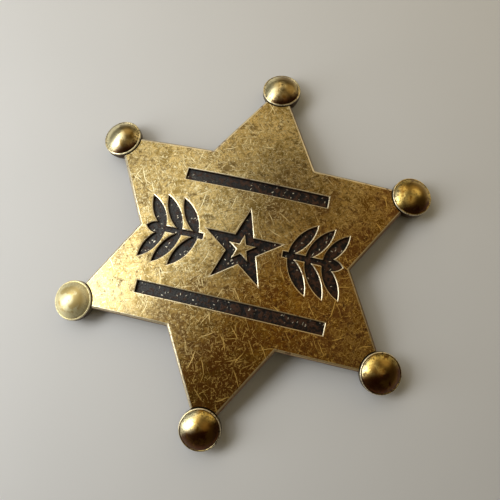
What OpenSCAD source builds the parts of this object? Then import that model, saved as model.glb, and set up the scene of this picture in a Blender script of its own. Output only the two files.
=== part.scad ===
// Six-pointed star badge. The plate is gently domed, each of its tips carries a riveted round
// stud, the face has a sunk ornament floored with black enamel, and a pin bar is on the back.
// It lies face up on its six rivet tails: +Z out of the face, +Y towards the badge's top point.

/* [Plate] */
// Radius of the circle through the centres of the six studs
stud_ring_r = 31.4; // [28:0.1:36]
// How far the sharp corner of an arm lies beyond the centre of its stud
arm_overrun = 1.2; // [0.6:0.1:2]
// Thickness of the plate
plate_t = 2; // [1.6:0.1:2.6]
// Radius of the shallow sphere that the face and the back follow
dome_r = 181; // [165:1:200]
// How far the edge of the pad under a stud lies inside the stud's rim
pad_inset = 0.27; // [0.1:0.01:0.6]

/* [Studs] */
// Diameter of a stud over its rim
stud_d = 7.14; // [6:0.02:8]
// Height of the rounded cap above its rim
cap_h = 1.5; // [1:0.1:2.2]
// Width of the rim round the cap
rim_w = 0.4; // [0.3:0.05:0.7]
// How far the rim stands above the plate's face
rim_proud = 0.12; // [0:0.02:0.4]
// Radius of the rounding on the rim's outer edge
rim_edge_r = 0.25; // [0.15:0.05:0.35]
// Depth of the round seat that is sunk in the tip of each arm
seat_depth = 1; // [0.8:0.05:1.2]
// Dark gap between the rim and the wall of its seat
stud_gap = 0.2; // [0.1:0.05:0.4]
// Diameter of the rivet shank
shank_d = 2; // [1.6:0.1:2.6]
// Diameter of the closed rivet tail on the back
tail_d = 4; // [3.4:0.1:5]
// Thickness of the rivet tail
tail_h = 0.7; // [0.6:0.05:1]
// Radius of the rounding on the tail's lower edge
tail_edge_r = 0.3; // [0.2:0.05:0.5]

/* [Sunk ornament] */
// Depth of the sunk ornament below the face
sunk_depth = 0.75; // [0.5:0.05:1]
// Width of the two straight bars
bar_w = 2; // [1.4:0.1:2.6]
// Length of the bar above the ornament
upper_bar_l = 25.6; // [20:0.1:30]
// Length of the bar below the ornament
lower_bar_l = 32.8; // [26:0.1:36]
// Distance from the badge's centre to the middle of each bar
bar_y = 10.85; // [9:0.05:12]
// Radius of the small middle star, to its points
middle_star_r = 6.9; // [5.5:0.1:7.5]
// Width of the sunk line that draws the middle star
star_line_w = 1.3; // [1:0.1:1.6]
// Face that is left between the middle star's side points and each laurel
spray_gap = 0.55; // [0.4:0.05:1]
// Length of each laurel spray, from its stem's inner end to its outer point
spray_l = 10.3; // [9.6:0.1:10.6]
// Width of the laurel stem
stem_w = 0.9; // [0.7:0.1:1.2]
// Distance between the leaf pairs along the stem
leaf_pitch = 3; // [2.8:0.05:3.1]
// Length of the longest leaves
leaf_l = 7.2; // [6:0.1:7.4]
// Width of a leaf
leaf_w = 1.95; // [1.4:0.05:2.05]
// Angle between a leaf and the stem
leaf_angle = 57; // [54:1:62]

/* [Enamel] */
// Thickness of the enamel on the floor of the sunk ornament
enamel_t = 0.15; // [0.1:0.01:0.3]

/* [Pin bar] */
// Length of the strip that carries the pin
strip_l = 30; // [24:0.5:34]
// Width of the strip
strip_w = 4.6; // [3.6:0.1:6]
// Thickness of the strip
strip_t = 0.7; // [0.5:0.05:0.9]
// How far the strip's middle lies above the badge's centre
pin_y = 4; // [0:0.5:8]
// Width of each end post, along the strip
post_w = 2.2; // [1.8:0.1:3]
// Depth of each end post, across the strip
post_d = 3.6; // [2.4:0.1:4.4]
// Diameter of the pin wire
wire_d = 1; // [0.8:0.05:1.1]
// How far the pointed end of the wire reaches past its post
wire_point_l = 2; // [1:0.1:3]
// Clearance between the pin and the surface that the badge lies on
floor_gap = 0.35; // [0.2:0.05:0.5]

/* [Clearances] */
// Clearance between a rivet shank and its hole
shank_gap = 0.05; // [0.03:0.01:0.1]
// Clearance between pieces that are seated on each other
seat_gap = 0.05; // [0.03:0.01:0.08]
// Clearance between the enamel and the walls of the sunk ornament
enamel_gap = 0.04; // [0.03:0.01:0.06]

/* [Hidden] */
$fn = 96;
// Facets of the large sphere when it is drawn as a mesh
dome_fn = 240;
// Number of arms, and of studs
arms = 6;
// Number of points on the middle star
star_points = 5;
// Turn from one arm to the next
arm_turn = 360 / arms;
// Stud numbers, counted anticlockwise from the badge's top point
STUDS = [1 : arms];

// Reach of an arm's sharp corner
arm_r = stud_ring_r + arm_overrun;
// The inner corners of a star that is made of two equal triangles
notch_r = arm_r / sqrt(3);
stud_r = stud_d / 2;
// Lean of a stud away from +Z, square to the domed face
stud_lean = asin(stud_ring_r / dome_r);
// Radius of the foot of a stud's cap, and of the sphere that the cap is cut from
cap_foot_r = stud_r - rim_w;
cap_sphere_r = (cap_foot_r^2 + cap_h^2) / (2 * cap_h);
// Level of the tail's underside along a stud's own axis, below the face
tail_drop = plate_t + seat_gap + tail_h;
// Height of the face's middle above the surface, which the rounded tail edges touch
lie_z = dome_r - (dome_r - tail_drop + tail_edge_r) * cos(stud_lean)
    + (tail_d / 2 - tail_edge_r) * sin(stud_lean) + tail_edge_r;
// Anything that cuts right through the plate is made this deep
cut_depth = 2 * lie_z;
// Half the angle between two points of the middle star
star_step = 180 / star_points;
// The middle star's edges run straight from point to point. This is how far they and its inner
// corners lie from its centre, as shares of its radius
star_line_share = cos(2 * star_step);
star_inner_share = star_line_share / cos(star_step);
// The middle star is lowered so that its points reach as far up as down
middle_star_y = -middle_star_r * (1 - cos(star_step)) / 2;
// Distance from the badge's centre to the inner end of each laurel stem
stem_start = middle_star_r * sin(2 * star_step) + spray_gap;
// Leaf pairs: root along the stem, counted in pitches, and length, as a share of leaf_l
LEAF_PAIRS = [[0.3, 1], [1.3, 1], [2.3, 0.92]];
LEAF_ROOT = 0;
LEAF_SHARE = 1;
// The single leaf that ends each spray
end_leaf_l = 0.55 * leaf_l;
wire_r = wire_d / 2;
// Level of the wire's axis, in the badge's own frame
wire_z = floor_gap + wire_r - lie_z;
// Distance from the middle of the strip to the middle of each post
post_x = strip_l / 2 - post_w;

// The badge's own frame has the middle of the face at its origin
module lying() {
    translate([0, 0, lie_z]) children();
}

// A ball as large as the dome, whose top is this far below the middle of the face
module ball_below(drop) {
    translate([0, 0, -dome_r - drop]) rotate([90, 0, 0]) sphere(r = dome_r, $fn = dome_fn);
}

// What lies above that ball, inside an outline
module above_ball(drop) {
    difference() {
        translate([0, 0, -cut_depth]) linear_extrude(2 * cut_depth) children();
        ball_below(drop);
    }
}

// A layer that follows the domed face between two levels, inside an outline
module domed_layer(top, bottom) {
    intersection() {
        above_ball(bottom) children();
        ball_below(top);
    }
}

// Places its child on a stud's axis, with its origin on the face and its +Z square to it
module on_stud_axis(i) {
    rotate([0, 0, 90 + (i - 1) * arm_turn])
        translate([0, 0, -dome_r]) rotate([0, stud_lean, 0]) translate([0, 0, dome_r])
            children();
}

// A star outline whose points and inner corners lie on two circles, its first point up
module star_outline(points, outer_r, inner_r) {
    step = 180 / points;
    polygon([for (k = [0 : 2 * points - 1])
        let (r = k % 2 == 0 ? outer_r : inner_r, a = 90 + k * step) [r * cos(a), r * sin(a)]]);
}

// A pointed leaf between two arcs, from its root along +X, drawn in by `inset` all round
module leaf(l, w, inset) {
    arc_r = (l^2 + w^2) / (4 * w);
    translate([l / 2, 0]) intersection_for (side = [-1, 1])
        translate([0, side * (arc_r - w / 2)]) circle(r = arc_r - inset);
}

module bar_outline(l, y, inset) {
    translate([0, y]) square([l - 2 * inset, bar_w - 2 * inset], center = true);
}

// The line star: an outline, and the island of face that is left inside it
module middle_star_outline(inset) {
    outer = middle_star_r - inset / star_line_share;
    island = middle_star_r - (star_line_w - inset) / star_line_share;
    translate([0, middle_star_y]) difference() {
        star_outline(star_points, outer, outer * star_inner_share);
        star_outline(star_points, island, island * star_inner_share);
    }
}

// A laurel spray that grows along +X
module laurel_outline(inset) {
    translate([stem_start, 0]) {
        translate([inset, inset - stem_w / 2])
            square([spray_l - end_leaf_l / 2 - inset, stem_w - 2 * inset]);
        for (pair = LEAF_PAIRS, side = [-1, 1])
            translate([pair[LEAF_ROOT] * leaf_pitch, 0])
                rotate(side * leaf_angle) leaf(pair[LEAF_SHARE] * leaf_l, leaf_w, inset);
        translate([spray_l - end_leaf_l, 0]) leaf(end_leaf_l, leaf_w, inset);
    }
}

module sunk_outline() {
    bar_outline(upper_bar_l, bar_y, 0);
    bar_outline(lower_bar_l, -bar_y, 0);
    middle_star_outline(0);
    for (m = [0, 1]) mirror([m, 0]) laurel_outline(0);
}

module star_plate() {
    color("darkgoldenrod") lying() difference() {
        union() {
            difference() {
                domed_layer(0, plate_t) star_outline(arms, arm_r, notch_r);
                for (i = STUDS) on_stud_axis(i)
                    translate([0, 0, -seat_depth]) cylinder(r = stud_r + stud_gap, h = cut_depth);
            }
            for (i = STUDS) stud_pad(i);
        }
        for (i = STUDS) on_stud_axis(i)
            translate([0, 0, -cut_depth / 2]) cylinder(d = shank_d + 2 * shank_gap, h = cut_depth);
        above_ball(sunk_depth) sunk_outline();
    }
}

// The round pad that ends an arm, from the stud's seat down to the back
module stud_pad(i) {
    difference() {
        on_stud_axis(i) translate([0, 0, -cut_depth / 2])
            cylinder(r = stud_r - pad_inset, h = cut_depth / 2 - seat_depth);
        ball_below(plate_t);
    }
}

// A domed rivet: cap and rim in front, shank through the plate, closed tail behind
module stud(i) {
    rim_bottom = seat_gap - seat_depth;
    color("goldenrod") lying() on_stud_axis(i) rotate_extrude() {
        intersection() {
            translate([0, rim_proud + cap_h - cap_sphere_r]) circle(r = cap_sphere_r);
            translate([0, rim_proud]) square([cap_foot_r, cap_h]);
        }
        rounded_disc_profile(stud_r, rim_bottom, rim_proud, rim_edge_r);
        translate([0, -plate_t - seat_gap]) square([shank_d / 2, plate_t]);
        mirror([0, 1])
            rounded_disc_profile(tail_d / 2, plate_t + seat_gap, tail_drop, tail_edge_r);
    }
}

// Half section of a disc whose upper edge is rounded
module rounded_disc_profile(r, bottom, top, edge_r) {
    translate([0, bottom]) square([r - edge_r, top - bottom]);
    translate([0, bottom]) square([r, top - bottom - edge_r]);
    translate([r - edge_r, top - edge_r]) circle(r = edge_r);
}

// A thin coat on the floor of the sunk ornament
module enamel() {
    color("#1b1613") lying()
        domed_layer(sunk_depth - enamel_gap - enamel_t, sunk_depth - enamel_gap) children();
}

module upper_bar_enamel() {
    enamel() bar_outline(upper_bar_l, bar_y, enamel_gap);
}

module lower_bar_enamel() {
    enamel() bar_outline(lower_bar_l, -bar_y, enamel_gap);
}

module middle_star_enamel() {
    enamel() middle_star_outline(enamel_gap);
}

module left_laurel_enamel() {
    enamel() mirror([1, 0]) laurel_outline(enamel_gap);
}

module right_laurel_enamel() {
    enamel() laurel_outline(enamel_gap);
}

// The strip on the back, its two posts and the straight wire, all one piece
module pin_bar() {
    color("tan") lying() {
        domed_layer(plate_t + seat_gap, plate_t + seat_gap + strip_t) strip_outline();
        for (side = [-1, 1]) post(side * post_x);
        pin_wire();
    }
}

module strip_outline() {
    end_r = strip_w / 2;
    translate([0, pin_y]) {
        square([strip_l - strip_w, strip_w], center = true);
        for (side = [-1, 1]) translate([side * (strip_l / 2 - end_r), 0]) circle(r = end_r);
    }
}

// A post with a round foot, from the strip down to just below the wire
module post(x) {
    foot_r = post_w / 2;
    foot_z = wire_z - wire_r + foot_r;
    intersection() {
        translate([x, pin_y + post_d / 2, foot_z]) rotate([90, 0, 0]) linear_extrude(post_d) {
            circle(r = foot_r);
            translate([-foot_r, 0]) square([post_w, lie_z]);
        }
        ball_below(plate_t + seat_gap + strip_t / 2);
    }
}

// The wire runs from the middle of one post to the far face of the other, and ends in a point
module pin_wire() {
    straight_l = 2 * post_x + post_w / 2;
    translate([-post_x, pin_y, wire_z]) rotate([0, 90, 0]) {
        cylinder(r = wire_r, h = straight_l);
        translate([0, 0, straight_l]) cylinder(r1 = wire_r, r2 = wire_r / 4, h = wire_point_l);
    }
}

star_plate();
for (i = STUDS) stud(i);
upper_bar_enamel();
lower_bar_enamel();
middle_star_enamel();
left_laurel_enamel();
right_laurel_enamel();
pin_bar();
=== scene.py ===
"""Six-pointed star badge: the looks of its plate, studs, enamel and pin bar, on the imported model."""
import math

import bmesh
import bpy
from bpy.props import FloatProperty, FloatVectorProperty, PointerProperty
from bpy.types import Operator, Panel, PropertyGroup
from mathutils import Matrix, Vector


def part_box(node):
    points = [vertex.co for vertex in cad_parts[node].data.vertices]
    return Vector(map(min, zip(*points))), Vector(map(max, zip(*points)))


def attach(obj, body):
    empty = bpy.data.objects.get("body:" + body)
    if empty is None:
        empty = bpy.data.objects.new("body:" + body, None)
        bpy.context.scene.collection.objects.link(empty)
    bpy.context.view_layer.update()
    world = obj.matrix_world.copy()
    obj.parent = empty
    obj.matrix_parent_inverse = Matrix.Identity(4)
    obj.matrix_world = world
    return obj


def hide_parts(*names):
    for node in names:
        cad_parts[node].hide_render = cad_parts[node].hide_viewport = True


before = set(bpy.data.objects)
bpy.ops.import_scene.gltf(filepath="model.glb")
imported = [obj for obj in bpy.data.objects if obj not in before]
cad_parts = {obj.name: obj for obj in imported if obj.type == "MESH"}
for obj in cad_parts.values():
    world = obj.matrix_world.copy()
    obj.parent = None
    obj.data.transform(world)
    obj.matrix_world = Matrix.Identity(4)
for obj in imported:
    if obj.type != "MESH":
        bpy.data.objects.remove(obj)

bl_info = {
    "name": "Star Badge",
    "version": (1, 0, 0),
    "blender": (4, 5, 0),
    "location": "View3D > Sidebar > Badge",
    "description": "Builds a worn six-pointed star badge with riveted studs and a sunk ornament",
    "category": "Object",
}

ARMS = 6
STAR_POINTS = 5
# Steps in the round rim of the sunk ornament
RIM_STEPS = 3
# Leaf pairs: root along the stem, counted in pitches, and length, as a share of the longest
LEAF_PAIRS = ((0.3, 1.0), (1.3, 1.0), (2.3, 0.92))
# How far two places may lie apart and still be the same one, in metres
SNAP = 1e-6
# The same for the cuts of the grid, which pass close to corners
CUT_SNAP = 1e-7
# A face is level where its normal's Z is at least this
LEVEL_NORMAL = 0.99
# An edge is sharp where its faces turn by more than this, in radians
SHARP = 1.0
# Faces within this angle of each other are one flat face
FLAT = math.radians(0.1)
# Faces are shaded as one surface up to this angle between them
SMOOTH = math.radians(38)
# How far a tool's mouth flares on above the face, as a share of the rim's wear
MOUTH_RISE = 1 / 40
# How much of a stud's cap is a cone, which gives it a slight point. The rest is a dome
CONE_SHARE = 0.14
# Rings of faces from the rim to the cap's apex
CAP_RINGS = 18
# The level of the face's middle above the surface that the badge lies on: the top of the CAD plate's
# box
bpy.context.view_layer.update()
FACE_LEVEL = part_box("star_plate")[1].z


def length(name, description, default):
    """A length in metres."""
    return FloatProperty(name=name, description=description, default=default, min=0.0,
                         precision=5, unit="LENGTH")


def angle(name, description, degrees):
    """An angle, given in degrees."""
    return FloatProperty(name=name, description=description, default=math.radians(degrees),
                         subtype="ANGLE")


def share(name, description, default):
    """A value from 0 to 1."""
    return FloatProperty(name=name, description=description, default=default, min=0.0, max=1.0,
                         subtype="FACTOR")


def colour(name, description, default):
    """A colour in linear light."""
    return FloatVectorProperty(name=name, description=description, default=default, size=3,
                               min=0.0, max=1.0, subtype="COLOR")


class BadgePlateSizes(PropertyGroup):
    arm_reach: length("Arm reach", "From the middle to the sharp corner of an arm", 0.0326)
    thickness: length("Thickness", "Thickness of the plate", 0.002)
    dome_radius: length("Dome radius", "Radius of the shallow sphere of the face", 0.181)
    edge_wear: length("Edge wear", "Width of the rounding along the outer edge", 0.0005)
    back_edge: length("Back edge", "Width of the rounding along the back's edge", 0.0002)
    mesh_step: length("Mesh step", "Distance between the cuts that let the plate bow", 0.002)
    seat_radius: length("Seat radius", "Radius of the round seat of a stud", 0.00377)
    seat_depth: length("Seat depth", "Depth of the round seat of a stud", 0.001)
    seat_lip: length("Seat lip", "Width of the worn lip round a seat", 0.0001)
    pad_radius: length("Pad radius", "Radius of the pad under a stud", 0.0033)
    pad_edge: length("Pad edge", "Width of the rounding along the pad's lower edge", 0.00015)
    hole_radius: length("Hole radius", "Radius of the hole for a rivet shank", 0.00105)


class BadgeOrnamentSizes(PropertyGroup):
    depth: length("Depth", "Depth of the sunk ornament", 0.00075)
    rim_wear: length("Rim wear", "Width of the rounding along the ornament's rims", 0.00024)
    bar_width: length("Bar width", "Width of the two straight bars", 0.002)
    upper_bar: length("Upper bar", "Length of the bar above the ornament", 0.0256)
    lower_bar: length("Lower bar", "Length of the bar below the ornament", 0.0328)
    bar_place: length("Bar place", "From the middle to the middle of each bar", 0.01085)
    star_reach: length("Star reach", "From the middle star's middle to its points", 0.0069)
    star_line: length("Star line", "Width of the line that draws the middle star", 0.0013)
    spray_gap: length("Spray gap", "Face between the middle star and each laurel", 0.00055)
    spray_length: length("Spray length", "Length of a laurel spray", 0.0103)
    stem_width: length("Stem width", "Width of a laurel stem", 0.0009)
    leaf_pitch: length("Leaf pitch", "Distance between the leaf pairs", 0.003)
    leaf_length: length("Leaf length", "Length of the longest leaves", 0.0072)
    leaf_width: length("Leaf width", "Width of a leaf", 0.00195)
    leaf_angle: angle("Leaf angle", "Angle between a leaf and its stem", 57)
    end_leaf: share("End leaf", "Length of the last leaf, as a share of the longest", 0.55)


class BadgeStudSizes(PropertyGroup):
    ring_radius: length("Ring radius", "From the middle to the middle of a stud", 0.0314)
    radius: length("Radius", "Radius of a stud over its rim", 0.00357)
    cap_height: length("Cap height", "Height of the cap above its rim", 0.0015)
    rim_width: length("Rim width", "Width of the rim round the cap", 0.0003)
    rim_height: length("Rim height", "How far the rim stands above the face", 0.00012)
    rim_edge: length("Rim edge", "Radius of the rounding on the rim's outer edge", 0.00025)
    groove: length("Groove", "Depth of the groove between rim and cap", 0.00003)
    underside: length("Underside", "Depth of the rim's underside below the face", 0.00095)
    shank_radius: length("Shank radius", "Radius of the rivet shank", 0.001)
    tail_radius: length("Tail radius", "Radius of the closed rivet tail", 0.002)
    tail_top: length("Tail top", "Depth of the tail's upper side below the face", 0.00205)
    tail_bottom: length("Tail bottom", "Depth of the tail's underside below the face", 0.00275)
    tail_edge: length("Tail edge", "Radius of the rounding on the tail's lower edge", 0.0003)


class BadgePinSizes(PropertyGroup):
    strip_length: length("Strip length", "Length of the strip on the back", 0.03)
    strip_width: length("Strip width", "Width of the strip", 0.0046)
    strip_thickness: length("Strip thickness", "Thickness of the strip", 0.0007)
    strip_gap: length("Strip gap", "Gap between the back and the strip", 0.00005)
    edge_wear: length("Edge wear", "Width of the rounding along the strip's edges", 0.00015)
    place: length("Place", "How far the strip lies above the badge's middle", 0.004)
    post_width: length("Post width", "Width of an end post, along the strip", 0.0022)
    post_depth: length("Post depth", "Depth of an end post, across the strip", 0.0036)
    wire_radius: length("Wire radius", "Radius of the pin wire", 0.0005)
    point_share: share("Point share", "Radius of the wire's point, as a share of the wire", 0.25)
    point_length: length("Point length", "How far the wire's point reaches past its post", 0.002)
    floor_gap: length("Floor gap", "From the surface up to the wire", 0.00035)


class BadgeFinish(PropertyGroup):
    gold: colour("Gold", "Rubbed brass", (0.74, 0.54, 0.21))
    # Partly patina, partly painted shade at the lower right
    amber: colour("Amber", "Deeper brass of the less rubbed side", (0.66, 0.34, 0.04))
    olive: colour("Olive", "Dulled brass", (0.27, 0.18, 0.05))
    # Partly patina, partly painted shade at the lower right
    bronze: colour("Bronze", "Dulled brass of the less rubbed side", (0.20, 0.09, 0.012))
    verdigris: colour("Verdigris", "Olive patina of the more rubbed side", (0.19, 0.125, 0.042))
    umber: colour("Umber", "Red-brown patina", (0.130, 0.035, 0.008))
    soot: colour("Soot", "Dark specks in the patina", (0.04, 0.024, 0.012))
    scratch: colour("Scratch", "Bare metal in the scratches", (0.98, 0.86, 0.50))
    # Scratches at the lower right, toned down partly with age and partly as painted shade
    shade_side_scratch: colour("Old scratch", "Scratches that have toned down", (0.90, 0.58, 0.15))
    stud: colour("Stud", "Rubbed brass of the studs", (0.86, 0.62, 0.18))
    # Painted highlight: pale brass on the side of each stud that faces the lights, and on the left
    # stud
    stud_highlight: colour("Stud pale", "Palest brass of the studs, where they are handled most",
                      (1.0, 0.90, 0.53))
    stud_dark: colour("Stud dark", "Dulled brass of the studs", (0.30, 0.15, 0.025))
    # Painted shade: red-brown on the side of each stud that faces away from the lights
    stud_shade: colour("Stud umber", "Patina on the sheltered side of a stud", (0.11, 0.026, 0.006))
    # Painted highlight: the palest brass, at the lower left towards the lights, and partly on the
    # upper-left studs
    pale: colour("Pale", "Palest brass, where hands rub the badge most", (0.80, 0.66, 0.36))
    edge: colour("Edge", "Metal that is worn bare along the edges", (0.95, 0.82, 0.55))
    # Painted shade: darker bare metal on the right-facing edges at the lower right
    shade_side_edge: colour("Far edge", "Bare metal along the edges of the less rubbed side",
                     (0.88, 0.66, 0.34))
    black: colour("Black", "Black enamel", (0.006, 0.004, 0.003))
    rubbed_black: colour("Rubbed black", "Enamel rubbed down to brown", (0.060, 0.024, 0.010))
    # Painted sheen: grey on the enamel at the left, towards the lights
    sheen: colour("Film", "Grey film on the enamel", (0.10, 0.098, 0.094))
    chip: colour("Chip", "Bare metal in the enamel's chips", (0.95, 0.88, 0.68))
    pin: colour("Pin", "Dull brass plating of the pin bar", (0.50, 0.40, 0.24))
    face_roughness: share("Face roughness", "Roughness of the rubbed face", 0.36)


class BadgeStage(PropertyGroup):
    azimuth: angle("Azimuth", "Turn of the camera round the badge", 25.85)
    elevation: angle("Elevation", "Height of the camera above the horizon", 77.4)
    roll: angle("Roll", "Turn of the camera about its own view", -12.91)
    distance: length("Distance", "From the camera to its target", 0.08383)
    target_x: FloatProperty(name="Target X", description="Where the camera looks, to the right",
                            default=0.001474, precision=5, unit="LENGTH")
    target_y: FloatProperty(name="Target Y", description="Where the camera looks, upwards",
                            default=-0.000613, precision=5, unit="LENGTH")
    lens: FloatProperty(name="Lens", description="Focal length in millimetres", default=35.28,
                        min=10.0, max=200.0, subtype="DISTANCE_CAMERA")
    power: FloatProperty(name="Power", description="Power of the soft lights together",
                         default=0.43, min=0.0, unit="POWER")
    light_distance: length("Light distance", "From the badge to each soft light", 0.2)
    surround: FloatProperty(name="Surround", description="Brightness of the room", default=0.05,
                            min=0.0)
    floor: colour("Floor", "Colour of the floor", (0.80, 0.79, 0.77))


# Modelling


def let_go():
    """Leave edit mode, with nothing selected."""
    if bpy.context.mode != "OBJECT":
        bpy.ops.object.mode_set(mode="OBJECT")
    bpy.ops.object.select_all(action="DESELECT")


def start(add_primitive, name, **sizes):
    """Add a primitive with nothing else selected, name it and open it for editing."""
    let_go()
    add_primitive(**sizes)
    piece = bpy.context.object
    piece.name = name
    piece.data.name = name
    bpy.ops.object.mode_set(mode="EDIT")
    return piece


def open_only(piece):
    """Make one object the only selected one, and open it for editing."""
    select_only(piece)
    bpy.ops.object.mode_set(mode="EDIT")


def select_only(piece):
    """Leave edit mode and select one object alone, as the active one."""
    let_go()
    piece.select_set(True)
    bpy.context.view_layer.objects.active = piece


def choose(kind, passes):
    """In edit mode, select only the vertices, edges or faces that pass a test."""
    mesh = bpy.context.edit_object.data
    bpy.ops.mesh.select_mode(type=kind)
    bpy.ops.mesh.select_all(action="DESELECT")
    shape = bmesh.from_edit_mesh(mesh)
    elements = {"VERT": shape.verts, "EDGE": shape.edges, "FACE": shape.faces}[kind]
    for element in elements:
        if passes(element):
            element.select_set(True)
    shape.select_flush_mode()
    bmesh.update_edit_mesh(mesh)


def choose_all():
    bpy.ops.mesh.select_mode(type="VERT")
    bpy.ops.mesh.select_all(action="SELECT")


def choose_level(side):
    """In edit mode, select the level faces that face up, or down where `side` is -1."""
    choose("FACE", lambda face: face.normal.z * side > LEVEL_NORMAL)


def move(offset):
    bpy.ops.transform.translate(value=offset)


def stretch(*ratios, **about):
    """Scale what is selected about its middle, or about `center_override`."""
    bpy.ops.transform.resize(value=ratios, **about)


def extrude(offset):
    """Pull what is selected out by an offset."""
    bpy.ops.mesh.extrude_region_move(TRANSFORM_OT_translate={"value": offset})


def bevel(width, segments, profile=0.5, **more):
    """Round the selected edges."""
    bpy.ops.mesh.bevel(offset=width, segments=segments, profile=profile, affect="EDGES",
                       clamp_overlap=False, **more)


def clean_up():
    """Merge doubled vertices, drop loose ends and turn every face outwards."""
    choose_all()
    bpy.ops.mesh.remove_doubles(threshold=SNAP)
    bpy.ops.mesh.delete_loose()
    choose_all()
    bpy.ops.mesh.normals_make_consistent(inside=False)


def dress(piece, *materials):
    """Give an object these materials in place of those that it has."""
    piece.data.materials.clear()
    for material in materials:
        piece.data.materials.append(material)


def place(piece, matrix=Matrix.Identity(4)):
    """Move an object by a matrix and set its place into its mesh."""
    select_only(piece)
    piece.matrix_world = matrix @ piece.matrix_world
    bpy.ops.object.transform_apply(location=True, rotation=True, scale=True)
    return piece


def copy_of(piece, name, matrix):
    """Copy an object with a mesh of its own, and place the copy."""
    select_only(piece)
    bpy.ops.object.duplicate(linked=False)
    twin = bpy.context.object
    twin.name = name
    twin.data.name = name
    return place(twin, matrix)


def gather(name, pieces):
    """Put tools for a Boolean into a collection of their own."""
    box = bpy.data.collections.new(name)
    bpy.context.scene.collection.children.link(box)
    for piece in pieces:
        for home in piece.users_collection:
            home.objects.unlink(piece)
        box.objects.link(piece)
    return box


def carve(piece, tools, operation):
    """Cut a piece with a list of tools, or join them to it, and throw the tools away."""
    box = gather(piece.name + "_tools", tools)
    select_only(piece)
    carving = piece.modifiers.new(operation.title(), "BOOLEAN")
    carving.operation = operation
    carving.operand_type = "COLLECTION"
    carving.collection = box
    carving.solver = "EXACT"
    carving.material_mode = "TRANSFER"
    bpy.ops.object.modifier_apply(modifier=carving.name)
    for tool in tools:
        bpy.data.objects.remove(tool)
    bpy.data.collections.remove(box)


def bow(dome_radius):
    """In edit mode, bow the whole mesh over the shallow sphere, its middle at the same level.

    A loose vertex at the origin is pulled up by the dome's radius, the rest follows it along a
    sphere, and all comes down again.
    """
    choose_all()
    bpy.ops.mesh.select_all(action="DESELECT")
    bpy.ops.mesh.primitive_circle_add(vertices=3, radius=dome_radius / 1000)
    bpy.ops.mesh.merge(type="CENTER")
    bpy.ops.transform.translate(value=(0, 0, dome_radius), use_proportional_edit=True,
                                proportional_edit_falloff="SPHERE",
                                proportional_size=dome_radius)
    choose_all()
    move((0, 0, -dome_radius))
    choose("VERT", lambda corner: not corner.link_edges)
    bpy.ops.mesh.delete(type="VERT")
    choose_all()


def smooth(piece):
    """Shade a piece smooth up to an angle, with its broad faces keeping their own direction."""
    select_only(piece)
    bpy.ops.object.shade_smooth_by_angle(angle=SMOOTH)
    weighting = piece.modifiers.new("Weighted Normal", "WEIGHTED_NORMAL")
    weighting.keep_sharp = True
    bpy.ops.object.modifier_apply(modifier=weighting.name)


def stud_axis(number, ring_radius, dome_radius):
    """The place of a stud: its origin on the face, its Z square to it, and numbered from 1."""
    turn = Matrix.Rotation(math.radians(90 + (number - 1) * 360 / ARMS), 4, "Z")
    lean = Matrix.Rotation(math.asin(ring_radius / dome_radius), 4, "Y")
    down = Matrix.Translation((0, 0, FACE_LEVEL - dome_radius))
    up = Matrix.Translation((0, 0, dome_radius))
    return turn @ down @ lean @ up


def finish_piece(piece, slot_name, *nodes):
    """Hand a finished piece over to the frame."""
    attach(piece, "root")
    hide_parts(*nodes)


# Finishes


class Wire:
    """A shader socket that takes part in sums: each expression adds its Math nodes."""

    def __init__(self, finish, node, output=0):
        self.finish = finish
        self.node = node
        self.socket = node.outputs[output]

    def out(self, output):
        """Another output of the same node."""
        return Wire(self.finish, self.node, output)

    def math(self, operation, *values):
        return self.finish.add("ShaderNodeMath", {"operation": operation},
                               dict(enumerate(values)))

    def __add__(self, other):
        return self.math("ADD", self, other)

    def __sub__(self, other):
        return self.math("SUBTRACT", self, other)

    def __rsub__(self, other):
        return self.math("SUBTRACT", other, self)

    def __mul__(self, other):
        return self.math("MULTIPLY", self, other)

    def __or__(self, other):
        """The larger of two masks."""
        return self.math("MAXIMUM", self, other)

    def __abs__(self):
        return self.math("ABSOLUTE", self)

    __radd__ = __add__
    __rmul__ = __mul__


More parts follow.
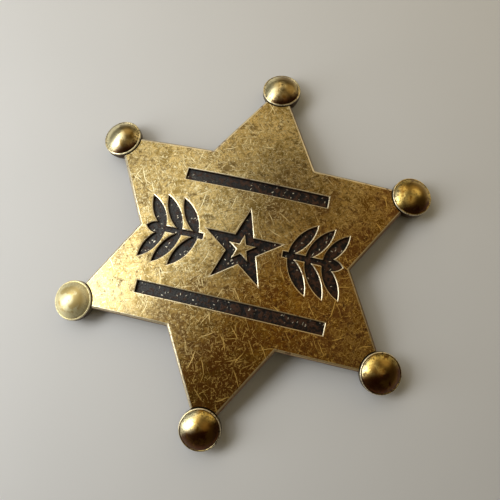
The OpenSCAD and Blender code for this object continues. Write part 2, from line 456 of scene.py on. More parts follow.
class Finish:
    """A material, and the one way in which nodes are added to it."""

    def __init__(self, name):
        self.material = bpy.data.materials.new(name)
        self.material.use_nodes = True
        self.tree = self.material.node_tree
        self.tree.nodes.clear()

    def add(self, kind, settings=None, inputs=None, output=0):
        """Add a node. Its settings come first, then the values or links of its sockets."""
        node = self.tree.nodes.new(kind)
        for name, value in (settings or {}).items():
            setattr(node, name, value)
        for name, value in (inputs or {}).items():
            if isinstance(value, Wire):
                self.tree.links.new(value.socket, node.inputs[name])
            else:
                node.inputs[name].default_value = value
        return Wire(self, node, output)

    def millimetres(self):
        """The place on the piece, in millimetres."""
        where = self.add("ShaderNodeTexCoord", output="Object")
        return self.scaled(where, 1000.0)

    def facing(self):
        """The direction that the surface faces, in the piece's own frame."""
        return self.add("ShaderNodeTexCoord", output="Normal")

    def scaled(self, vector, factor):
        return self.add("ShaderNodeVectorMath", {"operation": "SCALE"},
                        {0: vector, "Scale": factor})

    def moved(self, vector, offset):
        return self.add("ShaderNodeVectorMath", {"operation": "ADD"}, {0: vector, 1: offset})

    def parts(self, vector):
        """The three numbers of a vector, each on its own."""
        apart = self.add("ShaderNodeSeparateXYZ", None, {0: vector})
        return apart, apart.out(1), apart.out(2)

    def noise(self, vector, scale, detail=2.0, roughness=0.5, distortion=0.0):
        return self.add("ShaderNodeTexNoise", {"noise_dimensions": "3D"},
                        {"Vector": vector, "Scale": scale, "Detail": detail,
                         "Roughness": roughness, "Distortion": distortion})

    def step(self, value, low, high):
        """A soft step from 0 at `low` to 1 at `high`, or falling where `low` is the larger."""
        if low > high:
            return 1 - self.step(value, high, low)
        return self.add("ShaderNodeMapRange", {"interpolation_type": "SMOOTHSTEP"},
                        {"Value": value, "From Min": low, "From Max": high})

    def mix(self, factor, first, second):
        """A colour between two, by a factor."""
        def opaque(tint):
            return tint if isinstance(tint, Wire) else (*tint, 1.0)

        return self.add("ShaderNodeMix", {"data_type": "RGBA"},
                        {"Factor": factor, 6: opaque(first), 7: opaque(second)}, output=2)

    def warp(self, vector, scale, reach):
        """A place that is pushed about by noise, up to about half of `reach`."""
        drift = self.noise(vector, scale, 1.0).out("Color")
        centred = self.moved(drift, (-0.5, -0.5, -0.5))
        push = self.scaled(centred, reach)
        return self.add("ShaderNodeVectorMath", {"operation": "ADD"}, {0: vector, 1: push})

    def dashes(self, vector, turn, long, wide, size, rarity, offset):
        """Short straight scratches in one direction: one dash in each of some stretched cells.

        A cell is `long` by `wide` millimetres and the dash covers `size` of it, half each way.
        The value is 1 in the middle of a dash and falls evenly to 0 at its edge.
        """
        laid = self.add("ShaderNodeMapping", {"vector_type": "TEXTURE"},
                        {"Vector": vector, "Location": (offset, -offset, 0.0),
                         "Rotation": (0.0, 0.0, math.radians(turn)),
                         "Scale": (long, wide, 1.0)})
        cell = self.add("ShaderNodeTexVoronoi",
                        {"voronoi_dimensions": "2D", "feature": "F1"},
                        {"Vector": laid, "Scale": 1.0, "Randomness": 1.0})
        near = self.add("ShaderNodeMath", {"operation": "MULTIPLY_ADD", "use_clamp": True},
                        {0: cell.out("Distance"), 1: -1 / size, 2: 1.0})
        kept = self.step(cell.out("Color"), rarity, rarity + 0.3)
        return near * kept

    def any_of(self, vector, layers):
        """Several layers of dashes, laid over each other."""
        together = self.dashes(vector, *layers[0])
        for layer in layers[1:]:
            together = together | self.dashes(vector, *layer)
        return together

    def hairlines(self, vector, scale, width, offset):
        """Thin curled lines, where a noise passes through its middle value."""
        drift = self.noise(self.moved(vector, offset), scale, 1.5, 0.5, 0.6)
        return self.step(abs(drift - 0.5), width, width * 0.25)

    def surface(self, base, metallic, roughness, height=None, depth=0.0, strength=1.0,
                specular=0.5):
        """Close the material with its shader. `depth` is the relief's height in metres."""
        inputs = {"Base Color": base, "Metallic": metallic, "Roughness": roughness,
                  "Specular IOR Level": specular}
        if height is not None:
            inputs["Normal"] = self.add("ShaderNodeBump", None,
                                        {"Height": height, "Distance": depth,
                                         "Strength": strength})
        shader = self.add("ShaderNodeBsdfPrincipled", None, inputs)
        last = self.tree.nodes.new("ShaderNodeOutputMaterial")
        self.tree.links.new(shader.socket, last.inputs["Surface"])
        return self.material


# Direction in degrees, cell length and width in millimetres, size of the dash in its cell,
# rarity and offset
FINE_SCRATCHES = (
    (12, 5.4, 0.46, 0.28, 0.58, 3.1),
    (35, 8.8, 0.42, 0.25, 0.58, 11.7),
    (58, 4.6, 0.48, 0.28, 0.58, 23.9),
    (84, 7.2, 0.42, 0.26, 0.56, 31.3),
    (107, 5.6, 0.46, 0.27, 0.58, 47.1),
    (131, 9.8, 0.42, 0.25, 0.55, 59.9),
    (158, 6.4, 0.44, 0.27, 0.58, 71.3),
)
TINY_SCRATCHES = (
    (8, 1.5, 0.30, 0.30, 0.42, 13.3),
    (52, 1.9, 0.28, 0.30, 0.44, 29.7),
    (118, 1.6, 0.30, 0.30, 0.42, 53.1),
)
LONG_SCRATCHES = (
    (24, 19.0, 0.9, 0.14, 0.52, 5.3),
    (72, 24.0, 1.0, 0.13, 0.50, 17.9),
    (118, 21.0, 0.9, 0.14, 0.52, 43.3),
    (143, 17.0, 0.9, 0.14, 0.54, 67.7),
)
DARK_SCRATCHES = (
    (20, 4.4, 0.55, 0.27, 0.40, 83.7),
    (77, 5.2, 0.50, 0.27, 0.40, 97.3),
    (139, 4.0, 0.55, 0.27, 0.42, 109.1),
)


def to_patina_and_shade_side(across, up):
    """How far a place lies to the lower right, where the brass is darker, partly as patina and partly
    as painted shade, in millimetres.
    """
    return across * 0.8 - up * 0.6


def to_lit_side(across, up, patch):
    """How far a place lies to the lower left, towards the lights, where a highlight is painted.
    `patch` frays it.
    """
    return across * -0.8 - up * 0.45 + patch * 8.0


def face_brass(colours):
    """Worn brass: gold and olive mottling, red-brown patina, and scratches down to bare metal, with a
    painted highlight at the lower left, painted shade at the lower right and on the steep sides, and
    painted glints.
    """
    finish = Finish("antique_brass")
    spot = finish.millimetres()
    across, up, _ = finish.parts(spot)
    cloud = finish.noise(spot, 0.09, 3.0, 0.55)
    patch = finish.noise(finish.moved(spot, (31.0, 7.0, 0.0)), 0.33, 4.0, 0.62)
    worm = finish.noise(spot, 0.8, 3.0, 0.62, 1.0)
    grain = finish.noise(finish.moved(spot, (0.0, 53.0, 0.0)), 2.0, 2.0, 0.7, 0.5)

    # Mottling and patina, with a painted highlight of pale brass at the lower left, and deeper
    # red-brown at the lower right that is partly patina and partly painted shade
    patina_and_shade_side = finish.step(to_patina_and_shade_side(across, up) + cloud * 16.0, 0.0, 22.0)
    lit_side = finish.step(to_lit_side(across, up, patch), 17.0, 31.0)
    bright = finish.mix(patina_and_shade_side, colours.gold, colours.amber)
    bright = finish.mix(finish.step(across, 8.0, 22.0) * 0.55, bright, colours.gold)
    bright = finish.mix(lit_side, bright, colours.pale)
    tone = finish.step(patch * 0.4 + worm * 0.35 + grain * 0.25, 0.43, 0.54)
    dull_and_shade = finish.mix(patina_and_shade_side, colours.olive, colours.bronze)
    dull_and_shade = finish.mix(lit_side * 0.7, dull_and_shade, colours.gold)
    metal = finish.mix(tone, dull_and_shade, bright)
    # The bottom arm turns browner: partly patina, partly painted shade
    under = finish.step(cloud * 10.0 - up - across * 0.1, 12.0, 30.0)
    blotch = cloud * 0.2 + patch * 0.45 + worm * 0.35
    umber = finish.step(blotch + patina_and_shade_side * 0.025 + under * 0.045, 0.49, 0.58)
    patina = finish.mix(patina_and_shade_side, colours.verdigris, colours.umber)
    metal = finish.mix(umber * (0.85 - lit_side * 0.2), metal, patina)
    # Dark specks, denser at the lower right as painted shade and sparser in the painted highlight
    soot = finish.step(grain * 0.6 + worm * 0.4, 0.54, 0.62)
    metal = finish.mix(soot * (0.45 + patina_and_shade_side * 0.12 - lit_side * 0.1), metal, colours.soot)

    # Scratches: dark old ones, then bare ones, which are fainter on the back
    bent = finish.warp(finish.warp(spot, 0.14, 2.6), 0.45, 0.6)
    scored = finish.any_of(bent, DARK_SCRATCHES)
    metal = finish.mix(finish.step(scored, 0.1, 0.5) * 0.45, metal, patina)
    fine = finish.any_of(bent, FINE_SCRATCHES)
    long = finish.any_of(bent, LONG_SCRATCHES)
    lines = fine | long
    metal = finish.mix(finish.step(lines, 0.05, 0.3) * 0.45, metal, dull_and_shade)
    curls = finish.hairlines(spot, 0.45, 0.012, (3.0, 9.0, 0.0))
    # Painted glints: bright specks in the colour of bare metal
    glint = finish.step(grain, 0.42, 0.35)
    busy = finish.step(finish.noise(spot, 0.2, 2.0), 0.30, 0.62)
    tiny = finish.any_of(spot, TINY_SCRATCHES)
    thin = finish.step(fine, 0.40, 0.85) | finish.step(tiny, 0.3, 0.7) * 0.6 | curls * 0.4
    thin = thin * (1 - under * 0.1)
    rubbed = thin * (0.4 + busy * 0.6) | finish.step(long, 0.3, 0.65) | glint * 0.65
    facing = finish.parts(finish.facing())[2]
    front = finish.step(facing, -0.4, 0.4)
    rubbed = rubbed * (0.3 + front * 0.7)
    # Scratches at the lower right take a darker colour, partly as painted shade
    bare = finish.mix(patina_and_shade_side, colours.scratch, colours.shade_side_scratch)
    metal = finish.mix(rubbed, metal, bare)
    metal = finish.mix((1 - front) * 0.5, metal, colours.olive)
    # Painted shade on the steep sides
    wall = finish.step(abs(facing), 0.80, 0.45)
    metal = finish.mix(wall * 0.85, metal, colours.soot)

    roughness = colours.face_roughness + patch * 0.14 + soot * 0.15 - 0.05
    height = worm * 0.4 + grain * 0.4 - rubbed * 0.5
    return finish.surface(metal, 1 - rubbed * 0.15, roughness, height, 0.00003, 0.6)


# Small chips in the enamel, as the scratches are given
ENAMEL_CHIPS = (
    (10, 1.3, 0.60, 0.20, 0.62, 7.9),
    (95, 1.4, 0.55, 0.18, 0.62, 19.3),
    (62, 2.0, 0.45, 0.18, 0.64, 41.7),
)


def edge_brass(colours):
    """Metal rubbed bare along the edges, with a few dark nicks, a darker lower half that is partly
    less-worn metal and partly painted shade, and painted shade on the right-facing edges at the lower
    right.
    """
    finish = Finish("worn_edge_brass")
    spot = finish.millimetres()
    right, ahead, above = finish.parts(finish.facing())
    rub = finish.noise(spot, 0.9, 3.0, 0.65)
    nick = finish.step(rub, 0.58, 0.70)
    # Umber on the lower part of the rounding, more on right-facing parts: partly less-worn metal,
    # partly painted shade
    dull_and_shade = finish.step(above - right * 0.25 - ahead * 0.05 + rub * 0.1, 0.78, 0.58)
    across, up, _ = finish.parts(spot)
    # Darker bare metal on the right-facing edges at the lower right: painted shade
    patina_and_shade_side = finish.step(to_patina_and_shade_side(across, up), -4.0, 18.0) * finish.step(right, -0.25, 0.15)
    bare = finish.mix(patina_and_shade_side, colours.edge, colours.shade_side_edge)
    metal = finish.mix(nick * 0.75 | dull_and_shade * 0.9, bare, colours.umber)
    ripple = finish.noise(spot, 1.8, 2.0)
    return finish.surface(metal, 0.85, 0.30 + nick * 0.2, ripple, 0.00006, 0.7)


def recess_black(colours):
    """The blackened walls of the sunk ornament."""
    finish = Finish("blackened_brass")
    spot = finish.millimetres()
    rub = finish.step(finish.noise(spot, 1.7, 3.0, 0.6), 0.60, 0.72)
    metal = finish.mix(rub * 0.35, colours.black, colours.umber)
    return finish.surface(metal, 0.3, 0.62)


def floor_black(colours):
    """Rough black enamel: brown where it is rubbed, a painted grey sheen at the left, and brass
    specks.
    """
    finish = Finish("black_enamel")
    spot = finish.millimetres()
    across, _, _ = finish.parts(spot)
    crust = finish.noise(spot, 1.3, 4.0, 0.65)
    grit = finish.noise(spot, 3.4, 3.0, 0.6)
    rubbed = finish.step(crust + finish.step(across, -4.0, 14.0) * 0.05, 0.49, 0.61)
    coat = finish.mix(rubbed, colours.black, colours.rubbed_black)
    # Painted sheen: grey on the enamel at the left, towards the lights
    sheen = finish.step(across, 4.0, -20.0) * finish.step(grit * 0.5 + crust * 0.5, 0.62, 0.45)
    coat = finish.mix(sheen * 0.8, coat, colours.sheen)
    ragged = finish.warp(spot, 2.2, 0.55)
    chips = finish.step(finish.any_of(ragged, ENAMEL_CHIPS), 0.1, 0.6)
    coat = finish.mix(chips * 0.9, coat, colours.chip)
    height = crust * 0.7 + grit * 0.3
    return finish.surface(coat, chips * 0.8, 0.30 + crust * 0.3, height, 0.00022, 0.9,
                          specular=0.25)


def stud_brass(colours):
    """Paler brass for the studs, with patina round the foot of the cap and a bare rim, a painted
    highlight on the side facing the lights and on the left stud, and painted shade on the side facing
    away and below the rim.

    The attributes `reach` and `rise` are the distance from the stud's axis and above the face,
    in millimetres.
    """
    finish = Finish("stud_brass")
    spot = finish.millimetres()
    reach = finish.add("ShaderNodeAttribute", {"attribute_name": "reach"}, output="Fac")
    rise = finish.add("ShaderNodeAttribute", {"attribute_name": "rise"}, output="Fac")
    patch = finish.noise(spot, 0.62, 4.0, 0.6, 0.4)
    freckle = finish.noise(spot, 2.6, 3.0, 0.7)
    right, ahead, _ = finish.parts(finish.facing())
    across, up, _ = finish.parts(spot)
    # Paler, more olive brass on the upper-left studs: partly their own tone, partly a painted
    # highlight
    upper_left = finish.step(to_patina_and_shade_side(across, up), 8.0, -14.0) * 0.7
    bright = finish.mix(upper_left, colours.stud, colours.pale)
    dark = finish.mix(upper_left, colours.stud_dark, colours.olive)
    metal = finish.mix(finish.step(patch, 0.34, 0.54), dark, bright)
    metal = finish.mix(finish.step(freckle, 0.54, 0.64) * 0.4, metal, dark)
    # The left stud is paler, rougher and less metallic: a painted highlight
    lit_side = finish.step(to_lit_side(across, up, patch), 24.0, 30.0)
    # Pale brass on the side of each stud that faces the lights: a painted highlight
    lit = lit_side * 0.6 - right - patch * 0.3 - across * 0.012
    lit = finish.step(lit, -0.05, 0.35)
    metal = finish.mix(lit | lit_side * 0.8, metal, colours.stud_highlight)
    # Red-brown on the side of each stud that faces away from the lights, and more on the lower studs:
    # painted shade, frayed by noise
    low_side = finish.step(across * 0.3 - up, 5.0, 20.0)
    shaded = right * 0.5 - ahead * 0.85 + patch * 0.5 + low_side * 0.34 - lit_side * 0.55
    shaded = finish.step(shaded, 0.36, 0.76)
    metal = finish.mix(shaded * 0.95, metal, colours.stud_shade)
    belt = finish.step(reach, 0.6, 1.2) * finish.step(reach, 2.9, 2.1)
    belt = belt * finish.step(patch + right * 0.25 + ahead * 0.15 + lit_side * 0.05, 0.42, 0.56)
    metal = finish.mix(belt * 0.75, metal, finish.mix(lit_side * 0.6, dark, colours.stud))
    foot = finish.step(reach, 2.0, 3.2) * finish.step(freckle, 0.49, 0.60)
    metal = finish.mix(foot * (0.75 - lit_side * 0.5), metal, colours.soot)
    crown = finish.step(rise, -0.12, -0.02)
    rim = finish.step(reach, 3.38, 3.46) * crown
    metal = finish.mix(rim * finish.step(freckle, 0.68, 0.52) * 0.9, metal, colours.edge)
    # Painted shade on the rim's side wall below the face, and on all below it
    metal = finish.mix((1 - crown) * 0.8, metal, colours.soot)
    apex = finish.step(reach, 0.30, 0.14) * finish.step(patch, 0.47, 0.53)
    metal = finish.mix(apex * 0.7, metal, colours.soot)
    roughness = 0.27 + patch * 0.10 + foot * 0.15 + lit_side * 0.14
    height = freckle * 0.5 + patch * 0.5
    plating = 1 - lit_side * 0.15 - rim * 0.3
    return finish.surface(metal, plating, roughness, height, 0.00002, 0.4)


def pin_metal(colours):
    """Dull brass plating with faint drawing marks along the pin bar."""
    finish = Finish("pin_metal")
    spot = finish.millimetres()
    tarnish = finish.noise(spot, 0.7, 3.0, 0.6)
    drawn = finish.add("ShaderNodeMapping", None, {"Vector": spot, "Scale": (0.5, 6.0, 6.0)})
    marks = finish.noise(drawn, 1.0, 2.0)
    metal = finish.mix(finish.step(tarnish, 0.40, 0.65) * 0.6, colours.pin, colours.umber)
    return finish.surface(metal, 1.0, 0.32 + tarnish * 0.2, marks, 0.00003, 0.6)


# Pieces


def flare(sizes, middle, growth):
    """In edit mode, raise a tool's selected top face into a mouth that leaves a worn, round rim.

    The face starts at the rim's lower edge. `growth` is how much its length and width grow, as
    shares of them, for each metre that the rim spreads.
    """
    wear = sizes.rim_wear
    above = MOUTH_RISE * wear
    level = -wear
    spread = Vector((1, 1, 1))
    for number in range(1, RIM_STEPS + 1):
        turn = math.pi / 2 * number / RIM_STEPS
        offset = wear * (1 - math.cos(turn))
        next_level = above - wear * (1 - math.sin(turn))
        next_spread = Vector((1 + growth[0] * offset, 1 + growth[1] * offset, 1))
        extrude((0, 0, next_level - level))
        stretch(*(new / old for new, old in zip(next_spread, spread)),
                center_override=(*middle, 0))
        level, spread = next_level, next_spread
    extrude((0, 0, sizes.depth))
    clean_up()


def coat_tool(tool, sizes, coats):
    """Give a tool its two coats: the finish of the walls that it leaves, then of the rims."""
    dress(tool, *coats)
    low = -sizes.rim_wear - SNAP
    choose("FACE", lambda face: all(corner.co.z > low for corner in face.verts))
    tool.active_material_index = len(coats) - 1
    bpy.ops.object.material_slot_assign()
    return tool


def square_tool(name, sizes, coats, size_x, size_y, middle_x, middle_y):
    """A square-edged tool that sinks a bar or a stem."""
    tool = start(bpy.ops.mesh.primitive_plane_add, name, size=1.0)
    stretch(size_x, size_y, 1)
    move((middle_x, middle_y, -sizes.depth))
    extrude((0, 0, sizes.depth - sizes.rim_wear))
    flare(sizes, (middle_x, middle_y), (2 / size_x, 2 / size_y))
    return coat_tool(tool, sizes, coats)


def leaf_tool(name, leaf_length, sizes, coats):
    """A pointed leaf from its root at the origin along +X: what two round bars share."""
    leaf_width = sizes.leaf_width
    arc = (leaf_length ** 2 + leaf_width ** 2) / (4 * leaf_width)
    wall = sizes.depth - sizes.rim_wear
    halves = []
    for side in (-1, 1):
        middle = (leaf_length / 2, side * (arc - leaf_width / 2), -sizes.depth + wall / 2)
        half = start(bpy.ops.mesh.primitive_cylinder_add, name, vertices=128, radius=arc,
                     depth=wall, location=middle)
        halves.append(place(half))
    leaf, other = halves
    carve(leaf, [other], "INTERSECT")
    open_only(leaf)
    choose_level(1)
    point_growth = 4 * arc / leaf_length ** 2
    flare(sizes, (leaf_length / 2, 0), (point_growth, 2 / leaf_width))
    return coat_tool(leaf, sizes, coats)


def pull_points(points, ratio):
    """In edit mode, pull every second corner of a circle out to a star's point, the first one up.

    All is selected afterwards.
    """
    def is_point(corner):
        turns = math.atan2(corner.co.x, corner.co.y) / (2 * math.pi / points)
        return round(2 * turns) % 2 == 0

    choose("VERT", is_point)
    stretch(ratio, ratio, 1, center_override=(0, 0, 0))
    choose_all()


def star_tool(name, reach, sizes, coats, growth_sign):
    """A star that stands on the ornament's floor, its mouth flared outwards or inwards."""
    step = math.pi / STAR_POINTS
    edge_distance = reach * math.cos(2 * step)
    inner = edge_distance / math.cos(step)
    tool = start(bpy.ops.mesh.primitive_circle_add, name, vertices=2 * STAR_POINTS,
                 radius=inner, fill_type="NGON")
    pull_points(STAR_POINTS, reach / inner)
    move((0, 0, -sizes.depth))
    extrude((0, 0, sizes.depth - sizes.rim_wear))
    growth = growth_sign / edge_distance
    flare(sizes, (0, 0), (growth, growth))
    return coat_tool(tool, sizes, coats)


def star_line_tool(sizes, coats):
    """The line that draws the middle star: a star, less the island of face inside it."""
    step = math.pi / STAR_POINTS
    tool = star_tool("star_line", sizes.star_reach, sizes, coats, 1)
    island_reach = sizes.star_reach - sizes.star_line / math.cos(2 * step)
    island = star_tool("island", island_reach, sizes, coats, -1)
    open_only(island)
    for side in (-1, 1):
        choose_level(side)
        move((0, 0, side * sizes.depth))
    carve(tool, [island], "DIFFERENCE")
    lowered = sizes.star_reach * (1 - math.cos(step)) / 2
    return place(tool, Matrix.Translation((0, -lowered, 0)))


def ornament_tools(sizes, coats):
    """The tools that sink the ornament: two bars, the middle star's line and two laurels."""
    tools = [star_line_tool(sizes, coats)]
    for name, bar, side in (("upper_bar", sizes.upper_bar, 1), ("lower_bar", sizes.lower_bar, -1)):
        tools.append(square_tool(name, sizes, coats, bar, sizes.bar_width, 0,
                                 side * sizes.bar_place))
    return tools + laurel_tools(sizes, coats)


def laurel_tools(sizes, coats):
    """A stem and its leaves for the right, then the same turned for the left."""
    side_point = sizes.star_reach * math.sin(2 * math.pi / STAR_POINTS)
    stem_start = side_point + sizes.spray_gap
    end_length = sizes.end_leaf * sizes.leaf_length
    stem_length = sizes.spray_length - end_length / 2
    right = [square_tool("stem", sizes, coats, stem_length, sizes.stem_width,
                         stem_start + stem_length / 2, 0)]
    for pitches, part in LEAF_PAIRS:
        leaf = leaf_tool("leaf", part * sizes.leaf_length, sizes, coats)
        root = Matrix.Translation((stem_start + pitches * sizes.leaf_pitch, 0, 0))
        for side in (-1, 1):
            lean = Matrix.Rotation(side * sizes.leaf_angle, 4, "Z")
            right.append(copy_of(leaf, "leaf", root @ lean))
        bpy.data.objects.remove(leaf)
    end = leaf_tool("end_leaf", end_length, sizes, coats)
    end_root = stem_start + sizes.spray_length - end_length
    right.append(place(end, Matrix.Translation((end_root, 0, 0))))
    half_turn = Matrix.Rotation(math.pi, 4, "Z")
    left = [copy_of(tool, "left_" + tool.name, half_turn) for tool in right]
    return right + left


def star_blank(sizes):
    """The flat star: a circle of twelve corners with every second one pulled out."""
    # The notches of a regular six-pointed star
    notch = sizes.arm_reach / math.sqrt(3)
    plate = start(bpy.ops.mesh.primitive_circle_add, "badge_plate", vertices=2 * ARMS,
                  radius=notch, fill_type="NGON")
    pull_points(ARMS, sizes.arm_reach / notch)
    extrude((0, 0, -sizes.thickness))
    clean_up()
    return plate


def wear_outline(sizes, worn):
    """In edit mode, round the plate's outer edges, the face's in the slot of worn metal."""
    back = SNAP - sizes.thickness
    choose("EDGE", lambda edge: all(corner.co.z > back for corner in edge.verts))
    bevel(sizes.edge_wear, 4, 0.55, material=worn)
    choose("EDGE", lambda edge: all(corner.co.z < back for corner in edge.verts))
    bevel(sizes.back_edge, 2)


def score_grid(reach, step):
    """In edit mode, cut the mesh along a grid, so that it can bow."""
    count = int(reach / step)
    for axis in (Vector((1, 0, 0)), Vector((0, 1, 0))):
        for number in range(-count, count + 1):
            choose_all()
            bpy.ops.mesh.bisect(plane_co=axis * (number * step), plane_no=axis,
                                threshold=CUT_SNAP)


def seat_tool(sizes):
    """A round tool for the seat of a stud, with a flared mouth that leaves a worn lip."""
    above = sizes.seat_depth
    tool = start(bpy.ops.mesh.primitive_circle_add, "seat", vertices=96,
                 radius=sizes.seat_radius, fill_type="NGON",
                 location=(0, 0, -sizes.seat_depth))
    choose_all()
    extrude((0, 0, sizes.seat_depth - sizes.seat_lip))
    extrude((0, 0, sizes.seat_lip))
    lip_spread = 1 + sizes.seat_lip / sizes.seat_radius
    stretch(lip_spread, lip_spread, 1)
    extrude((0, 0, above))
    spread = 1 + above / sizes.seat_radius
    stretch(spread, spread, 1)
    clean_up()
    return place(tool)


def pad_form(sizes):
    """The round pad under a stud, its lower edge rounded."""
    tall = sizes.thickness - sizes.seat_depth
    middle = -sizes.seat_depth - tall / 2
    pad = start(bpy.ops.mesh.primitive_cylinder_add, "pad", vertices=96,
                radius=sizes.pad_radius, depth=tall, location=(0, 0, middle))
    choose("EDGE", lambda edge: all(corner.co.z < 0 for corner in edge.verts))
    bevel(sizes.pad_edge, 3)
    return place(pad)


def hole_form(sizes):
    """The tool for the hole that a rivet's shank passes through."""
    tool = start(bpy.ops.mesh.primitive_cylinder_add, "hole", vertices=48,
                 radius=sizes.hole_radius, depth=4 * sizes.thickness,
                 location=(0, 0, -2 * sizes.thickness))
    return place(tool)


def seat_studs(plate, sizes, ring_radius, brass):
    """Sink the seat of each stud, and give it a pad below and a hole through it."""
    places = [stud_axis(number, ring_radius, sizes.dome_radius) for number in range(1, ARMS + 1)]
    for form, operation in ((seat_tool(sizes), "DIFFERENCE"), (pad_form(sizes), "UNION"),
                            (hole_form(sizes), "DIFFERENCE")):
        dress(form, brass)
        twins = [copy_of(form, form.name, spot) for spot in places]
        bpy.data.objects.remove(form)
        carve(plate, twins, operation)


class BADGE_OT_plate(Operator):
    """Cut, bow and wear the six-pointed plate, with its sunk ornament, seats and pads"""
    bl_idname = "badge.plate"
    bl_label = "Star Plate"

    def execute(self, context):
        sizes = context.scene.badge_plate
        colours = context.scene.badge_finish
        plate = star_blank(sizes)
        brass = face_brass(colours)
        black = recess_black(colours)
        worn = edge_brass(colours)
        dress(plate, brass, black, worn)
        wear_outline(sizes, plate.data.materials.find(worn.name))
        tools = ornament_tools(context.scene.badge_ornament, (black, worn))
        carve(plate, tools, "DIFFERENCE")

        open_only(plate)
        choose_all()
        bpy.ops.mesh.dissolve_limited(angle_limit=FLAT, delimit={"MATERIAL"})
        score_grid(sizes.arm_reach, sizes.mesh_step)
        choose_all()
        bpy.ops.mesh.quads_convert_to_tris()
        bow(sizes.dome_radius)
        move((0, 0, FACE_LEVEL))

        seat_studs(plate, sizes, context.scene.badge_studs.ring_radius, brass)
        open_only(plate)
        clean_up()
        smooth(plate)
        finish_piece(plate, "antique_brass", "star_plate")
        return {"FINISHED"}


def arc_points(middle_r, middle_z, radius, first, last, count):
    """Points along an arc in a stud's half section, from one angle in degrees to another."""
    points = []
    for number in range(count + 1):
        turn = math.radians(first + (last - first) * number / count)
        points.append((middle_r + radius * math.cos(turn), middle_z + radius * math.sin(turn)))
    return points


def stud_section(sizes):
    """Half section of a stud, from the middle of its tail's underside up to the cap's apex."""
    tail_inner = sizes.tail_radius - sizes.tail_edge
    tail_low = sizes.tail_edge - sizes.tail_bottom
    rim_inner = sizes.radius - sizes.rim_edge
    foot = sizes.radius - sizes.rim_width
    points = [(0, -sizes.tail_bottom)]
    points += arc_points(tail_inner, tail_low, sizes.tail_edge, -90, 0, 5)
    points += [(sizes.tail_radius, -sizes.tail_top), (sizes.shank_radius, -sizes.tail_top),
               (sizes.shank_radius, -sizes.underside), (sizes.radius, -sizes.underside)]
    points += arc_points(rim_inner, sizes.rim_height - sizes.rim_edge, sizes.rim_edge, 0, 90, 6)
    points += [(foot, sizes.rim_height - sizes.groove)]
    ball = (foot ** 2 + sizes.cap_height ** 2) / (2 * sizes.cap_height)
    for number in range(1, CAP_RINGS + 1):
        r = foot * (1 - number / CAP_RINGS)
        dome = math.sqrt(ball ** 2 - r ** 2) - ball + sizes.cap_height
        cone = sizes.cap_height * (1 - r / foot)
        cap = (1 - CONE_SHARE) * dome + CONE_SHARE * cone
        points.append((r, sizes.rim_height + cap))
    return points


class BADGE_OT_studs(Operator):
    """Spin one domed rivet and copy it to the tips of the six arms"""
    bl_idname = "badge.studs"
    bl_label = "Studs"

    def execute(self, context):
        sizes = context.scene.badge_studs
        dome_radius = context.scene.badge_plate.dome_radius
        points = stud_section(sizes)
        stud = start(bpy.ops.mesh.primitive_plane_add, "stud", size=sizes.radius)
        choose_all()
        bpy.ops.mesh.merge(type="CENTER")
        first_r, first_z = points[0]
        move((first_r, 0, first_z))
        for (last_r, last_z), (r, z) in zip(points, points[1:]):
            extrude((r - last_r, 0, z - last_z))
        choose_all()
        bpy.ops.mesh.spin(steps=72, angle=2 * math.pi, center=(0, 0, 0), axis=(0, 0, 1))
        clean_up()
        let_go()
        reach = stud.data.attributes.new("reach", "FLOAT", "POINT")
        rise = stud.data.attributes.new("rise", "FLOAT", "POINT")
        for corner, out, up in zip(stud.data.vertices, reach.data, rise.data):
            out.value = corner.co.xy.length * 1000
            up.value = corner.co.z * 1000
        dress(stud, stud_brass(context.scene.badge_finish))
        smooth(stud)
        for number in range(1, ARMS + 1):
            spot = stud_axis(number, sizes.ring_radius, dome_radius)
            twin = copy_of(stud, f"badge_stud_{number}", spot)
            finish_piece(twin, "stud_brass", f"stud_{number}")
        bpy.data.objects.remove(stud)
        return {"FINISHED"}


class BADGE_OT_enamel(Operator):
    """Give the enamel on the floor of the sunk ornament its rough black finish"""
    bl_idname = "badge.enamel"
    bl_label = "Enamel"

    def execute(self, context):
        coat = floor_black(context.scene.badge_finish)
        for name in ("upper_bar", "lower_bar", "middle_star", "left_laurel", "right_laurel"):
            dress(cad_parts[name + "_enamel"], coat)
        return {"FINISHED"}


def wear_sharp_edges(width, passes=lambda edge: True):
    """In edit mode, round every sharp edge that passes a test."""
    choose("EDGE", lambda edge: edge.calc_face_angle(0) > SHARP and passes(edge))
    bevel(width, 2)


def strip_form(sizes, top, dome_radius):
    """The strip with round ends, bowed to follow the badge's back."""
    middle = (0, sizes.place, top - sizes.strip_thickness / 2)
    strip = start(bpy.ops.mesh.primitive_cube_add, "badge_pin_bar", size=1.0)
    stretch(sizes.strip_length, sizes.strip_width, sizes.strip_thickness)
    move(middle)
    choose("EDGE", lambda edge: abs(edge.verts[0].co.z - edge.verts[1].co.z) > SNAP)
    bevel(sizes.strip_width / 2, 12)
    clean_up()
    wear_sharp_edges(sizes.edge_wear)
    score_grid(sizes.strip_length / 2, sizes.strip_width / 4)
    clean_up()
    bow(dome_radius)
    move((0, 0, FACE_LEVEL))
    return strip


def post_form(sizes, x, top):
    """An end post with a round foot, at its place along the strip."""
    post = start(bpy.ops.mesh.primitive_cube_add, "post", size=1.0)
    tall = top - sizes.floor_gap
    stretch(sizes.post_width, sizes.post_depth, tall)
    move((x, sizes.place, sizes.floor_gap + tall / 2))
    foot = sizes.floor_gap + SNAP
    choose("EDGE", lambda edge: all(corner.co.z < foot for corner in edge.verts)
           and abs(edge.verts[0].co.y - edge.verts[1].co.y) > SNAP)
    bevel(sizes.post_width / 2, 10)
    clean_up()
    below_top = top - SNAP
    wear_sharp_edges(sizes.edge_wear,
                     lambda edge: any(corner.co.z < below_top for corner in edge.verts))
    return post


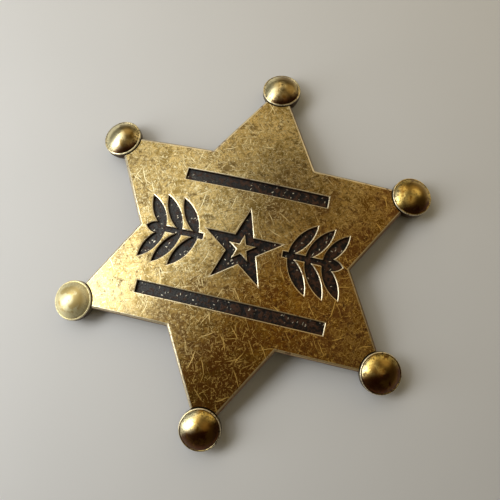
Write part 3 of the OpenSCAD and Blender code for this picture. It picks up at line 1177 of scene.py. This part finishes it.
def wire_form(sizes, post_x):
    """The pin wire: from inside one post, through the other, to its tapered point."""
    straight = 2 * post_x + sizes.post_width / 2
    level = sizes.floor_gap + sizes.wire_radius
    wire = start(bpy.ops.mesh.primitive_cylinder_add, "wire", vertices=24,
                 radius=sizes.wire_radius, depth=straight, rotation=(0, math.pi / 2, 0),
                 location=(straight / 2 - post_x, sizes.place, level))
    choose_level(1)
    extrude((sizes.point_length, 0, 0))
    stretch(1, sizes.point_share, sizes.point_share)
    return place(wire)


class BADGE_OT_pin_bar(Operator):
    """Model the strip, posts and wire of the pin bar on the back, as one soldered piece"""
    bl_idname = "badge.pin_bar"
    bl_label = "Pin Bar"

    def execute(self, context):
        sizes = context.scene.badge_pin
        plate = context.scene.badge_plate
        strip_top = -plate.thickness - sizes.strip_gap
        post_x = sizes.strip_length / 2 - sizes.post_width
        fall = (post_x ** 2 + sizes.place ** 2) / (2 * plate.dome_radius)
        post_top = FACE_LEVEL + strip_top - sizes.strip_thickness / 2 - fall
        bar = strip_form(sizes, strip_top, plate.dome_radius)
        parts = [post_form(sizes, side * post_x, post_top) for side in (-1, 1)]
        parts.append(wire_form(sizes, post_x))
        carve(bar, parts, "UNION")
        dress(bar, pin_metal(context.scene.badge_finish))
        smooth(bar)
        finish_piece(bar, "pin_metal", "pin_bar")
        return {"FINISHED"}


GREY = (0.5, 0.5, 0.5)
COOL = (0.97, 0.99, 1.0)
WARM = (1.0, 0.84, 0.55)
# Name, azimuth anticlockwise from +X and elevation in degrees, diameter in metres, share of the
# whole power, and colour. Most of the light comes in from the left, as from a window
SOFT_LIGHTS = (
    ("window", 190, 43, 0.10, 0.33, COOL),
    ("window_low", 204, 20, 0.12, 0.24, COOL),
    ("window_edge", 150, 52, 0.14, 0.20, COOL),
    ("patina_and_shade_side", 110, 34, 0.12, 0.08, WARM),
    ("far_corner", 55, 30, 0.16, 0.10, WARM),
    ("overhead", 0, 72, 0.14, 0.05, WARM),
)


def area_light(name, azimuth, elevation, diameter, power, tint, distance):
    """A large soft light that faces the badge."""
    turn = math.radians(azimuth)
    height = math.radians(elevation)
    towards = Vector((math.cos(turn) * math.cos(height), math.sin(turn) * math.cos(height),
                      math.sin(height)))
    middle = Vector((0, 0, FACE_LEVEL))
    bpy.ops.object.light_add(type="AREA", location=middle + towards * distance)
    lamp = bpy.context.object
    lamp.name = name
    lamp.data.shape = "DISK"
    lamp.data.size = diameter
    lamp.data.energy = power
    lamp.data.color = tint
    lamp.rotation_mode = "QUATERNION"
    lamp.rotation_quaternion = towards.to_track_quat("Z", "Y")


class BADGE_OT_stage(Operator):
    """Set the pale floor, the soft lights and the camera"""
    bl_idname = "badge.stage"
    bl_label = "Stage"

    def execute(self, context):
        stage = context.scene.badge_stage
        floor = start(bpy.ops.mesh.primitive_plane_add, "floor", size=3.0)
        let_go()
        paint = Finish("floor_paint")
        grain = paint.noise(paint.millimetres(), 0.05, 2.0)
        tint = paint.mix(grain * 0.1, stage.floor, GREY)
        dress(floor, paint.surface(tint, 0.0, 0.7))

        for name, azimuth, elevation, diameter, part, tint in SOFT_LIGHTS:
            area_light(name, azimuth, elevation, diameter, part * stage.power, tint,
                       stage.light_distance)
        world = bpy.data.worlds.new("room")
        world.use_nodes = True
        background = world.node_tree.nodes["Background"]
        background.inputs["Color"].default_value = (*WARM, 1.0)
        background.inputs["Strength"].default_value = stage.surround
        context.scene.world = world
        context.scene.view_settings.view_transform = "Standard"

        level = math.cos(stage.elevation)
        back = Vector((math.sin(stage.azimuth) * level, -math.cos(stage.azimuth) * level,
                       math.sin(stage.elevation)))
        target = Vector((stage.target_x, stage.target_y, FACE_LEVEL))
        bpy.ops.object.camera_add(location=target + back * stage.distance)
        camera = context.object
        camera.name = "camera"
        camera.data.lens = stage.lens
        camera.data.sensor_width = 36.0
        camera.data.clip_start = 0.001
        camera.data.clip_end = 10.0
        camera.rotation_mode = "QUATERNION"
        facing = (-back).to_track_quat("-Z", "Y").to_matrix()
        rolled = facing @ Matrix.Rotation(stage.roll, 3, "Z")
        camera.rotation_quaternion = rolled.to_quaternion()
        context.scene.camera = camera
        return {"FINISHED"}


STEPS = (BADGE_OT_stage, BADGE_OT_plate, BADGE_OT_studs, BADGE_OT_enamel, BADGE_OT_pin_bar)
GROUPS = {
    "badge_plate": BadgePlateSizes,
    "badge_ornament": BadgeOrnamentSizes,
    "badge_studs": BadgeStudSizes,
    "badge_pin": BadgePinSizes,
    "badge_finish": BadgeFinish,
    "badge_stage": BadgeStage,
}


class BADGE_PT_sidebar(Panel):
    """The badge's steps, and its sizes and colours"""
    bl_idname = "BADGE_PT_sidebar"
    bl_label = "Star Badge"
    bl_space_type = "VIEW_3D"
    bl_region_type = "UI"
    bl_category = "Badge"

    def draw(self, context):
        for step in STEPS:
            self.layout.operator(step.bl_idname)
        for group in GROUPS:
            settings = getattr(context.scene, group)
            box = self.layout.box()
            for name in settings.__annotations__:
                box.prop(settings, name)


CLASSES = (*GROUPS.values(), *STEPS, BADGE_PT_sidebar)


def register():
    for part in CLASSES:
        bpy.utils.register_class(part)
    for name, group in GROUPS.items():
        setattr(bpy.types.Scene, name, PointerProperty(type=group))


def unregister():
    for name in GROUPS:
        delattr(bpy.types.Scene, name)
    for part in reversed(CLASSES):
        bpy.utils.unregister_class(part)


def main():
    """Build the badge in order."""
    register()
    bpy.ops.badge.stage()
    bpy.ops.badge.plate()
    bpy.ops.badge.studs()
    bpy.ops.badge.enamel()
    bpy.ops.badge.pin_bar()


if __name__ == "__main__":
    main()
